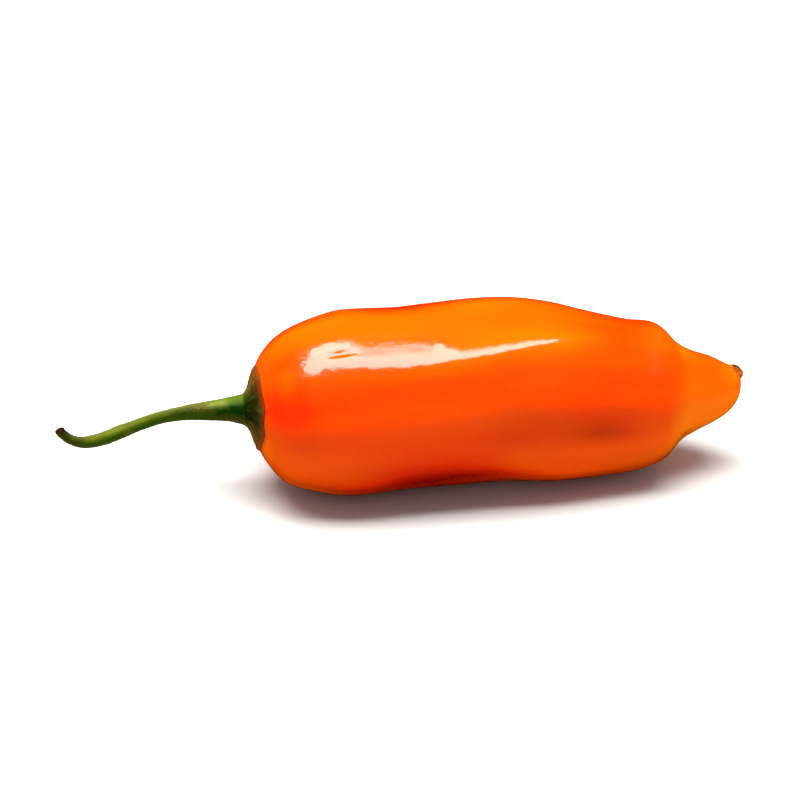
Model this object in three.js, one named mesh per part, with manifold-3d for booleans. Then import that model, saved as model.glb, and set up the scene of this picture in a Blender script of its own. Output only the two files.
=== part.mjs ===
// A ripe orange chilli pepper, picked with its stalk on and lying on its side.
// Sizes are millimetres. +X runs along the pod to its tip, +Z is up, and the origin is the
// middle of the narrow flat spot that the pod rests on. Angles go round the pod in degrees:
// 0 is its +Y side, 90 its top, 180 its -Y side and 270 the side it lies on.

import * as THREE from 'three';
import { mergeVertices } from 'three/addons/utils/BufferGeometryUtils.js';
import Module from 'manifold-3d';

// The pod from its shoulder to its tip: half its height, and how far its middle stands above
// the table and to the side.
const podStations = [
  { along: -45.7, half: 0.0, up: 20.3, side: 0.0 },
  { along: -45.4, half: 5.0, up: 20.3, side: 0.0 },
  { along: -44.4, half: 9.2, up: 20.3, side: 0.0 },
  { along: -42.6, half: 12.7, up: 20.2, side: 0.0 },
  { along: -39.0, half: 16.5, up: 20.0, side: 0.0 },
  { along: -33.0, half: 19.1, up: 20.2, side: 0.2 },
  { along: -24.0, half: 21.0, up: 20.2, side: 0.4 },
  { along: -12.0, half: 20.9, up: 20.6, side: 0.5 },
  { along: 1.0, half: 21.2, up: 20.7, side: 0.6 },
  { along: 12.0, half: 21.1, up: 20.9, side: 0.6 },
  { along: 22.0, half: 20.8, up: 20.0, side: 0.5 },
  { along: 33.0, half: 19.1, up: 18.6, side: 0.3 },
  { along: 42.0, half: 17.5, up: 17.9, side: -0.1 },
  { along: 48.5, half: 15.8, up: 18.6, side: -0.5 },
  { along: 53.0, half: 11.45, up: 18.55, side: -0.8 },
  { along: 56.5, half: 9.45, up: 18.5, side: -1.1 },
  { along: 61.0, half: 7.7, up: 18.75, side: -1.4 },
  { along: 64.5, half: 5.8, up: 18.85, side: -1.5 },
  { along: 66.9, half: 3.6, up: 19.7, side: -1.6 },
  { along: 68.1, half: 0.0, up: 20.5, side: -1.6 },
];
const podWidthToHeight = 1.03;
const podFullHalf = 21; // where a ridge stands at the full height given below
const shoulderStationCount = 4; // stations past the first that the shoulder grows over

// Soft ridges and furrows along the pod. Each path point is how far along, the angle, and the
// height there. Spread is how far round the pod it fades, in degrees.
const ridges = {
  frontTopRidge: {
    spread: 11.5,
    path: [[-42, 126, 0], [-30, 129, 0.3], [-12, 131, 0.5], [-5, 130.5, 0.9], [0, 129.5, 1.5],
      [8, 127, 1.8], [14, 124, 1.8], [20, 121, 2.0], [26, 118, 2.2], [32, 114, 1.9],
      [39, 108, 0.8], [47, 105, 0]],
  },
  topHollow: {
    spread: 20,
    path: [[-30, 95, 0], [-5, 98, -0.5], [15, 95, -0.9], [32, 88, -0.5], [48, 85, 0]],
  },
  frontHollow: {
    spread: 10,
    path: [[-44, 153, 0], [-36, 153, -0.5], [-22, 153, -0.5], [-6, 152, -0.2], [6, 151, 0]],
  },
  frontRidge: {
    spread: 14,
    path: [[-44, 166, 0], [-34, 166, 0.3], [-10, 165, 0.4], [12, 161, 0.5], [35, 158, 0.5],
      [50, 156, 0]],
  },
  frontFurrow: {
    spread: 15,
    path: [[-43, 178, 0], [-33, 178, -0.6], [-8, 180, -0.7], [14, 183, -1.1], [36, 185, -1.5],
      [50, 184, -0.4], [56, 182, 0]],
  },
  lowerRidge: {
    spread: 16,
    path: [[-42, 198, 0], [-30, 200, 0.4], [0, 203, 0.2], [25, 208, 0.5], [44, 208, 0.2],
      [54, 208, 0]],
  },
  topBackRidge: {
    spread: 22,
    path: [[-34, 62, 0], [-24, 62, 0.35], [-11, 62, -0.4], [2, 62, 0]],
  },
  backRidge: {
    spread: 24,
    path: [[-44, 20, 0], [-30, 22, 0.8], [0, 28, 1.0], [26, 34, 0.9], [48, 30, 0]],
  },
  backFurrow: {
    spread: 24,
    path: [[-44, 340, 0], [-32, 342, -1.0], [-4, 348, -1.3], [24, 352, -1.5], [46, 350, -0.6],
      [58, 350, 0]],
  },
  lowBackRidge: {
    spread: 22,
    path: [[-44, 310, 0], [-30, 312, 0.7], [0, 316, 0.5], [30, 318, 0.8], [50, 316, 0]],
  },
};

// Single dents: where, how deep, and how far they fade along the pod and round it.
const dents = {
  waist: { along: 4, angle: 218, depth: 1.2, reach: 15, spread: 24 },
  frontDent: { along: 13, angle: 172, depth: 0.5, reach: 9, spread: 12 },
  frontTipDent: { along: 36, angle: 172, depth: 0.8, reach: 8, spread: 14 },
  shoulderDent: { along: -40.5, angle: 148, depth: 0.3, reach: 2.2, spread: 22 },
  backDent: { along: 8, angle: 330, depth: 0.9, reach: 12, spread: 20 },
  tipTopDent: { along: 49, angle: 122, depth: 1.2, reach: 6, spread: 24 },
};

// The green cap that grips the shoulder, and the stalk that grows out of it.
const calyxRadius = 9.2;
const calyxLean = { angle: 135, reach: 1.8, thicker: 0.2 };
const toothSpread = 15;
const teeth = [
  { angle: 48, length: -1.7 },
  { angle: 80, length: 0.3 },
  { angle: 112, length: 0.4 },
  { angle: 150, length: 0.9 },
  { angle: 180, length: 0.9 },
  { angle: 226, length: 0.4 },
  { angle: 260, length: -1.2 },
  { angle: 296, length: 1.4 },
  { angle: 356, length: 1.6 },
];
const calyxUndersideShares = [0.3, 0.6, 0.85, 1.0];
const calyxProfile = [
  { share: 1.0, height: 0.35 },
  { share: 0.82, height: 0.4 },
  { share: 0.64, height: 0.45 },
  { share: 0.5, height: 0.65 },
  { share: 0.4, height: 1.2 },
];
const stalkStations = [
  { along: -47.9, side: 0.0, up: 20.6, radius: 3.4 },
  { along: -51.4, side: -0.3, up: 21.0, radius: 2.65 },
  { along: -55.9, side: -1.0, up: 21.3, radius: 2.15 },
  { along: -60.5, side: -1.7, up: 21.6, radius: 1.7 },
  { along: -65.0, side: -2.3, up: 21.4, radius: 1.45 },
  { along: -69.6, side: -2.6, up: 20.4, radius: 1.4 },
  { along: -74.1, side: -2.5, up: 18.7, radius: 1.5 },
  { along: -77.6, side: -2.0, up: 17.1, radius: 1.55 },
  { along: -80.6, side: -1.3, up: 15.8, radius: 1.45 },
  { along: -83.3, side: -0.6, up: 15.0, radius: 1.35 },
  { along: -85.3, side: -0.1, up: 15.0, radius: 1.2 },
  { along: -86.9, side: 0.4, up: 15.5, radius: 1.1 },
  { along: -88.1, side: 0.8, up: 16.4, radius: 1.1 },
  { along: -88.8, side: 1.0, up: 17.1, radius: 1.1 },
  { along: -89.0, side: 1.0, up: 17.6, radius: 1.1 },
];
const stalkRibCount = 5;
const stalkRibHeight = 0.02; // as a share of the stalk's radius
const cutFaceRim = { share: 0.8, rise: 0.1 };

// The dried scar that the flower left on the tip: a small nub with a slightly hollow end.
const nibMiddle = { along: 66.15, side: -1.6, up: 22.55 };
const nibLean = new THREE.Vector3(0.52, -0.3, 0.8).normalize();
const nibWidthToHeight = 0.85;
const nibProfile = [
  { rise: -2.2, radius: 1.5 },
  { rise: -0.4, radius: 2.2 },
  { rise: 0.85, radius: 2.1 },
  { rise: 1.5, radius: 1.6 },
  { rise: 1.5, radius: 1.15 },
];
const nibEndRise = 1.36;

const gap = 0.3; // kept between pieces that touch

// How finely the shapes are drawn.
const podRingCount = 56;
const podSides = 56;
const stalkRingCount = 34;
const stalkSides = 36;
const nibSides = 18;

// One column of a table of rows as a smooth curve, read from 0 at the first row to 1 at the last.
function columnCurve(rows, column) {
  return new THREE.SplineCurve(rows.map((row, place) => new THREE.Vector2(place, row[column])));
}

function curvesOf(rows, columns) {
  return Object.fromEntries(columns.map((column) => [column, columnCurve(rows, column)]));
}

const podCurves = curvesOf(podStations, ['along', 'half', 'up', 'side']);
const stalkCurves = curvesOf(stalkStations, ['along', 'side', 'up', 'radius']);

// The value in one column of a path's points, on straight lines between them.
function onPath(path, along, column) {
  const next = path.findIndex((point) => point[0] > along);
  if (next === 0) return path[0][column];
  if (next < 0) return path[path.length - 1][column];
  const from = path[next - 1];
  const to = path[next];
  return THREE.MathUtils.mapLinear(along, from[0], to[0], from[column], to[column]);
}

// The shorter way round from one angle to another.
function angleFrom(angle, other) {
  return THREE.MathUtils.euclideanModulo(angle - other + 180, 360) - 180;
}

function fade(distance, reach) {
  return Math.exp(-((distance / reach) ** 2));
}

// How far the skin stands out from the plain round pod.
function relief(along, angle) {
  let height = 0;
  for (const { spread, path } of Object.values(ridges)) {
    const away = angleFrom(angle, onPath(path, along, 1));
    height += onPath(path, along, 2) * fade(away, spread);
  }
  for (const dent of Object.values(dents)) {
    const away = angleFrom(angle, dent.angle);
    height -= dent.depth * fade(along - dent.along, dent.reach) * fade(away, dent.spread);
  }
  return height;
}

// A point on the pod's skin. Share runs from 0 at the shoulder's middle to 1 at the tip. What
// would go below the table is pressed flat on it.
function podSkin(share, angle) {
  const along = podCurves.along.getPoint(share).y;
  const half = podCurves.half.getPoint(share).y * (1 + relief(along, angle) / podFullHalf);
  const turn = THREE.MathUtils.degToRad(angle);
  const side = podCurves.side.getPoint(share).y + podWidthToHeight * half * Math.cos(turn);
  const up = podCurves.up.getPoint(share).y + half * Math.sin(turn);
  return new THREE.Vector3(along, side, Math.max(up, 0));
}

// The same point lifted off the skin, square to the two lines through it and its near neighbours.
function abovePod(share, angle, lift) {
  const shareStep = 0.002;
  const angleStep = 1;
  const lengthwise = podSkin(share + shareStep, angle).sub(podSkin(share - shareStep, angle));
  const across = podSkin(share, angle + angleStep).sub(podSkin(share, angle - angleStep));
  const outward = across.cross(lengthwise).normalize();
  return podSkin(share, angle).addScaledVector(outward, lift);
}

// How far along the pod its shoulder has grown to a radius, found by halving the stretch that
// holds the place until it is short enough.
function shoulderShare(radius) {
  const closeEnough = 0.000001;
  let low = 0;
  let high = shoulderStationCount / (podStations.length - 1);
  while (high - low > closeEnough) {
    const middle = (low + high) / 2;
    if (podCurves.half.getPoint(middle).y < radius) low = middle;
    else high = middle;
  }
  return low;
}

// A closed skin over rings of points, from its first point to its last. Seen along the way it
// runs, each ring's points go clockwise.
function loft(firstPoint, rings, lastPoint) {
  const sides = rings[0].length;
  const points = [firstPoint, ...rings.flat(), lastPoint];
  const last = points.length - 1;
  const corner = (ring, side) => 1 + ring * sides + (side % sides);
  const faces = [];
  for (let side = 0; side < sides; side += 1) {
    faces.push(0, corner(0, side + 1), corner(0, side));
    for (let ring = 0; ring < rings.length - 1; ring += 1) {
      const here = corner(ring, side);
      const beside = corner(ring, side + 1);
      const ahead = corner(ring + 1, side);
      const across = corner(ring + 1, side + 1);
      faces.push(here, beside, across, here, across, ahead);
    }
    faces.push(last, corner(rings.length - 1, side), corner(rings.length - 1, side + 1));
  }
  const geometry = new THREE.BufferGeometry().setFromPoints(points);
  geometry.setIndex(faces);
  geometry.computeVertexNormals();
  return geometry;
}

function evenAngles(count, way = 1) {
  return Array.from({ length: count }, (unused, step) => (way * 360 * step) / count);
}

// The pod, or its skin grown outwards by a lift.
function podShape(lift = 0) {
  const rings = [];
  for (let ring = 1; ring < podRingCount; ring += 1) {
    const share = ring / podRingCount;
    rings.push(evenAngles(podSides).map((angle) => abovePod(share, angle, lift)));
  }
  const shoulder = podSkin(0, 0);
  const tip = podSkin(1, 0);
  shoulder.x -= lift;
  tip.x += lift;
  return loft(shoulder, rings, tip);
}

// 1 on the side that the calyx leans to, -1 on the other.
function calyxSide(angle) {
  return Math.cos(THREE.MathUtils.degToRad(angle - calyxLean.angle));
}

// How far out the calyx reaches: a round cap whose edge runs out into short pointed teeth.
function calyxReach(angle) {
  let reach = calyxRadius + calyxLean.reach * calyxSide(angle);
  for (const tooth of teeth) {
    reach += tooth.length * fade(angleFrom(angle, tooth.angle), toothSpread);
  }
  return reach;
}

// Rings of the calyx: out along the skin beneath it, round its edge, and back up to the stalk.
function calyxRings(angles) {
  const ringAt = (share, height) => angles.map((angle) => {
    const lift = gap + height * (1 + calyxLean.thicker * calyxSide(angle));
    return abovePod(shoulderShare(share * calyxReach(angle)), angle, lift);
  });
  const underside = calyxUndersideShares.map((share) => ringAt(share, 0));
  const upperSide = calyxProfile.map(({ share, height }) => ringAt(share, height));
  return [...underside, ...upperSide];
}

// A place on the stalk's middle line, with the way it runs and its own sideways and upward lines.
function stalkPlace(share) {
  const at = (where) => new THREE.Vector3(
    stalkCurves.along.getPoint(where).y,
    stalkCurves.side.getPoint(where).y,
    stalkCurves.up.getPoint(where).y,
  );
  const step = 0.01;
  const way = at(Math.min(share + step, 1)).sub(at(Math.max(share - step, 0))).normalize();
  const sideways = way.clone().cross(new THREE.Vector3(0, 0, 1)).normalize();
  const upward = sideways.clone().cross(way);
  return { middle: at(share), way, sideways, upward, radius: stalkCurves.radius.getPoint(share).y };
}

function ringAround({ middle, sideways, upward }, angles, radiusAt) {
  return angles.map((angle) => {
    const turn = THREE.MathUtils.degToRad(angle);
    return middle.clone()
      .addScaledVector(sideways, radiusAt(turn) * Math.cos(turn))
      .addScaledVector(upward, radiusAt(turn) * Math.sin(turn));
  });
}

function stalkShape() {
  const angles = evenAngles(stalkSides, -1);
  const rings = calyxRings(angles);
  for (let ring = 0; ring <= stalkRingCount; ring += 1) {
    const place = stalkPlace(ring / stalkRingCount);
    const ribbed = (turn) => place.radius * (1 + stalkRibHeight * Math.cos(stalkRibCount * turn));
    rings.push(ringAround(place, angles, ribbed));
  }
  const end = stalkPlace(1);
  end.middle.addScaledVector(end.way, cutFaceRim.rise);
  rings.push(ringAround(end, angles, () => cutFaceRim.share * end.radius));
  const underPoint = podSkin(0, 0);
  underPoint.x -= gap;
  return loft(underPoint, rings, end.middle);
}

function nibShape() {
  const foot = new THREE.Vector3(nibMiddle.along, nibMiddle.side, nibMiddle.up);
  const sideways = new THREE.Vector3(0, 1, 0).cross(nibLean).normalize();
  const upward = nibLean.clone().cross(sideways);
  const at = (rise) => foot.clone().addScaledVector(nibLean, rise);
  const angles = evenAngles(nibSides);
  const rings = nibProfile.map(({ rise, radius }) => {
    const place = { middle: at(rise), sideways, upward };
    const oval = (turn) => radius * (1 - (1 - nibWidthToHeight) * Math.sin(turn) ** 2);
    return ringAround(place, angles, oval);
  });
  return loft(at(nibProfile[0].rise), rings, at(nibEndRise));
}

const wasm = await Module();
wasm.setup();

function toSolid(geometry) {
  const bare = geometry.clone();
  bare.deleteAttribute('normal');
  const merged = mergeVertices(bare);
  return new wasm.Manifold(new wasm.Mesh({
    numProp: 3,
    vertProperties: new Float32Array(merged.getAttribute('position').array),
    triVerts: new Uint32Array(merged.getIndex().array),
  }));
}

function fromSolid(solid) {
  const mesh = solid.getMesh();
  const geometry = new THREE.BufferGeometry();
  geometry.setAttribute('position', new THREE.BufferAttribute(mesh.vertProperties, 3));
  geometry.setIndex(new THREE.BufferAttribute(mesh.triVerts, 1));
  geometry.computeVertexNormals();
  return geometry;
}

// A piece with the room that the pod needs cut out of it.
function clearOfPod(geometry) {
  return fromSolid(toSolid(geometry).subtract(toSolid(podShape(gap))));
}

function piece(name, geometry, color, roughness) {
  const material = new THREE.MeshStandardMaterial({ color, roughness, metalness: 0 });
  const mesh = new THREE.Mesh(geometry, material);
  mesh.name = name;
  return mesh;
}

const group = new THREE.Group();
group.add(piece('pod', podShape(), 0xf85a04, 0.25));
group.add(piece('stalk', stalkShape(), 0x4f6f12, 0.6));
group.add(piece('tip_nib', clearOfPod(nibShape()), 0x6b4410, 0.8));

export default group;
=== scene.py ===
import math

import bpy
import numpy as np
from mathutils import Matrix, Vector


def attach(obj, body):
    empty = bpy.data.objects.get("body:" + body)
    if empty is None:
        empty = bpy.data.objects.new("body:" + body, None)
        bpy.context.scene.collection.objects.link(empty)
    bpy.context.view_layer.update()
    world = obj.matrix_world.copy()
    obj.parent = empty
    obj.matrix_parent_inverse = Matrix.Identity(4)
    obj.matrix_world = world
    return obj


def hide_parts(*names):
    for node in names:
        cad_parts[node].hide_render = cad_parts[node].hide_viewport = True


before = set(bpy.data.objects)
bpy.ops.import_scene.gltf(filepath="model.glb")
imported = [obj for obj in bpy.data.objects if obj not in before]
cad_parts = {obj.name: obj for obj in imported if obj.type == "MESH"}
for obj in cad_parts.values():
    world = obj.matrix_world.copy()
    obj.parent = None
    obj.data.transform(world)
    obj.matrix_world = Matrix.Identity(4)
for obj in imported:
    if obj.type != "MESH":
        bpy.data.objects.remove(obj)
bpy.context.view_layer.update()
print("frame loaded")

# Shape sizes are in millimetres and turn to metres when a mesh is made. Angles go round the pod
# in degrees: 0 at the back, 90 on top, 180 at the front, 270 where it lies.
mmPerMetre = 1000

cameraSetup = {
    "lens": 100,
    "sensor": 36,
    "azimuth": -7.5,  # degrees, from square on
    "elevation": 30,
    "aim": (-0.01148, 0.0007, 0.01991),  # metres
    "distance": 0.5097,
}


def wayBack(azimuth, elevation):
    turn, tilt = math.radians(azimuth), math.radians(elevation)
    return Vector((math.sin(turn) * math.cos(tilt), -math.cos(turn) * math.cos(tilt), math.sin(tilt)))


def addCamera(setup):
    data = bpy.data.cameras.new("photoCamera")
    data.lens = setup["lens"]
    data.sensor_width = setup["sensor"]
    data.clip_start = 0.01
    camera = bpy.data.objects.new("photoCamera", data)
    bpy.context.scene.collection.objects.link(camera)
    back = wayBack(setup["azimuth"], setup["elevation"])
    camera.location = Vector(setup["aim"]) + back * setup["distance"]
    camera.rotation_euler = back.to_track_quat("Z", "Y").to_euler()
    bpy.context.scene.camera = camera


addCamera(cameraSetup)
print("camera placed")


def throughRows(rows, share):
    # A smooth line through rows of numbers, read from 0 at the first row to 1 at the last.
    # Between two rows it is a cubic, and its slope at a row is half the step from the row before
    # to the row after.
    rows = np.asarray(rows, float)
    place = np.clip(share, 0, 1) * (len(rows) - 1)
    step = np.minimum(place.astype(int), len(rows) - 2)
    part = (place - step).reshape(place.shape + (1,) * (rows.ndim - 1))
    here, ahead = rows[step], rows[step + 1]
    slopeHere = (ahead - rows[np.maximum(step - 1, 0)]) / 2
    slopeAhead = (rows[np.minimum(step + 2, len(rows) - 1)] - here) / 2
    return (
        here
        + slopeHere * part
        + (3 * (ahead - here) - 2 * slopeHere - slopeAhead) * part**2
        + (2 * (here - ahead) + slopeHere + slopeAhead) * part**3
    )


def fade(distance, reach):
    # 1 at no distance, falling off as a bell with its reach as the width
    return np.exp(-((distance / reach) ** 2))


def angleFrom(angle, other):
    # the shorter way round, from -180 to 180
    return (angle - other + 180) % 360 - 180


def smoothStep(value, low, high):
    # 0 below low, 1 above high, with a soft S between
    part = np.clip((value - low) / (high - low), 0, 1)
    return part * part * (3 - 2 * part)


def between(value, start, full, leave, end):
    # 0 before the start, 1 from full until it leaves, and 0 again after the end
    return smoothStep(value, start, full) * (1 - smoothStep(value, leave, end))


def waves(points, size, seed, count=8, spread=(0.6, 1.5)):
    # A soft random height from about -1 to 1: the sum of sine waves that run through space in
    # random directions, each near the given length, with random starts. The spread is how much
    # coarser and finer than that length a wave may be.
    dice = np.random.default_rng(seed)
    ways = dice.normal(size=(3, count))
    ways *= dice.uniform(*spread, count) * 2 * math.pi / size / np.linalg.norm(ways, axis=0)
    starts = dice.uniform(0, 2 * math.pi, count)
    return 2 * np.sin(points @ ways + starts).mean(axis=-1)


def waveSum(points, rows):
    # waves of several lengths added up, where each row holds a height, a wave length and a seed
    return sum(height * waves(points, size, seed) for height, size, seed in rows)


def gridNormals(points):
    # The way out of a closed tube of rings: the cross product of the step round the ring and the
    # step along the tube, made one long.
    across = np.roll(points, -1, axis=1) - np.roll(points, 1, axis=1)
    lengthwise = np.gradient(points, axis=0)
    normal = np.cross(across, lengthwise)
    return normal / np.linalg.norm(normal, axis=-1, keepdims=True)


def closedTube(name, rings, firstPoint, lastPoint, values):
    # Rings of points joined by quads, with a fan of triangles at each end. Values holds named
    # numbers for each point of the rings, and its first and last rings set them at the ends.
    ringCount, sides = rings.shape[:2]
    points = np.vstack([rings.reshape(-1, 3), firstPoint, lastPoint]) / mmPerMetre
    first, last = len(points) - 2, len(points) - 1
    ring, side = np.meshgrid(np.arange(ringCount - 1), np.arange(sides), indexing="ij")
    beside = (side + 1) % sides
    quads = np.stack([ring * sides + side, ring * sides + beside,
                      (ring + 1) * sides + beside, (ring + 1) * sides + side], -1).reshape(-1, 4)
    edge = np.arange(sides)
    following = (edge + 1) % sides
    lastRing = (ringCount - 1) * sides
    firstFan = np.stack([np.full(sides, first), following, edge], -1)
    lastFan = np.stack([np.full(sides, last), lastRing + edge, lastRing + following], -1)
    corners = np.concatenate([quads.ravel(), firstFan.ravel(), lastFan.ravel()])
    starts = np.concatenate([np.arange(len(quads)) * 4, len(quads) * 4 + np.arange(2 * sides) * 3])

    mesh = bpy.data.meshes.new(name)
    mesh.vertices.add(len(points))
    mesh.vertices.foreach_set("co", points.astype(np.float32).ravel())
    mesh.loops.add(len(corners))
    mesh.loops.foreach_set("vertex_index", corners.astype(np.int32))
    mesh.polygons.add(len(starts))
    mesh.polygons.foreach_set("loop_start", starts.astype(np.int32))
    mesh.update(calc_edges=True)
    mesh.shade_smooth()

    # the map runs round in u and along in v, and doesn't fold back at the seam
    quadU = np.stack([side, side + 1, side + 1, side], -1).reshape(-1) / sides
    quadV = np.stack([ring, ring, ring + 1, ring + 1], -1).reshape(-1) / (ringCount - 1)
    fanU = np.stack([edge + 0.5, edge + 1, edge], -1).reshape(-1) / sides
    farFanU = np.stack([edge + 0.5, edge, edge + 1], -1).reshape(-1) / sides
    around = np.concatenate([quadU, fanU, farFanU])
    along = np.concatenate([quadV, np.zeros(3 * sides), np.ones(3 * sides)])
    flat = mesh.uv_layers.new(name="flat")
    flat.data.foreach_set("uv", np.stack([around, along], -1).astype(np.float32).ravel())

    for label, value in values.items():
        value = np.broadcast_to(value, rings.shape[:2])
        full = np.concatenate([value.ravel(), [value[0].mean()], [value[-1].mean()]])
        mesh.attributes.new(label, "FLOAT", "POINT").data.foreach_set("value", full.astype(np.float32))
    piece = bpy.data.objects.new(name, mesh)
    bpy.context.scene.collection.objects.link(piece)
    return piece


def fromHex(code):
    # an sRGB hex colour as the linear numbers that a shader takes
    parts = [int(code[place:place + 2], 16) / 255 for place in (1, 3, 5)]
    return [part / 12.92 if part <= 0.04045 else ((part + 0.055) / 1.055) ** 2.4 for part in parts] + [1]


def addNode(tree, kind, settings=None, links=None, stops=None):
    # Adds a node. Settings holds its options and the numbers of its unlinked sockets, links the
    # sockets that feed it, and stops the places and colours of a colour ramp. In a mix of colours
    # socket 0 is the share, 6 and 7 are the two colours, and output 2 is the result.
    node = tree.nodes.new(kind)
    for name, value in (settings or {}).items():
        if isinstance(name, int) or name in node.inputs:
            node.inputs[name].default_value = value
        else:
            setattr(node, name, value)
    for name, source in (links or {}).items():
        tree.links.new(source, node.inputs[name])
    if stops:
        elements = node.color_ramp.elements
        while len(elements) < len(stops):
            elements.new(1)
        for element, (place, color) in zip(elements, stops):
            element.position = place
            element.color = fromHex(color) if isinstance(color, str) else [color] * 3 + [1]
    return node


def newMaterial(name):
    material = bpy.data.materials.new(name)
    material.use_nodes = True
    material.node_tree.nodes.clear()
    return material, material.node_tree


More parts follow.
